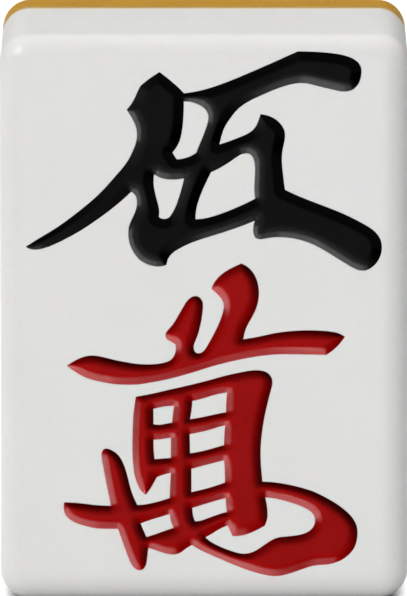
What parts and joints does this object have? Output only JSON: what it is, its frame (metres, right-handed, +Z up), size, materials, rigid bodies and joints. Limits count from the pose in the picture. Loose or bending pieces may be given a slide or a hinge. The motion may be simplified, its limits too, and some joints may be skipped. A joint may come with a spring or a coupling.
{
  "type": "mahjong tile",
  "caption": "Upright two-layer playing tile: a pale block with an engraved, enamelled number mark, bonded to an amber back plate that closes a magnet pocket.",
  "frame": {"origin": "middle of the short end that the tile stands on", "axes": "+Z up along the tile's length, -Y out of the engraved face, +Y out of the amber back, +X to the right as the face is read"},
  "size_m": [0.02, 0.016, 0.0279],
  "materials": {
    "pale_resin": "polished, very slightly warm white, with softly rounded edges",
    "amber_resin": "polished translucent amber",
    "adhesive": "clear, faintly straw-coloured cement line",
    "magnet_plating": "dull nickel plate",
    "black_enamel": "glossy enamel, thicker where it climbs the walls of the cut",
    "red_enamel": "glossy enamel, thicker where it climbs the walls of the cut"
  },
  "bodies": {
    "root": {"face_block": "pale_resin", "back_plate": "amber_resin", "bond_film": "adhesive", "magnet": "magnet_plating", "enamel_upper": "black_enamel", "enamel_crown": "red_enamel", "enamel_lower": "red_enamel"}
  },
  "joints": []
}
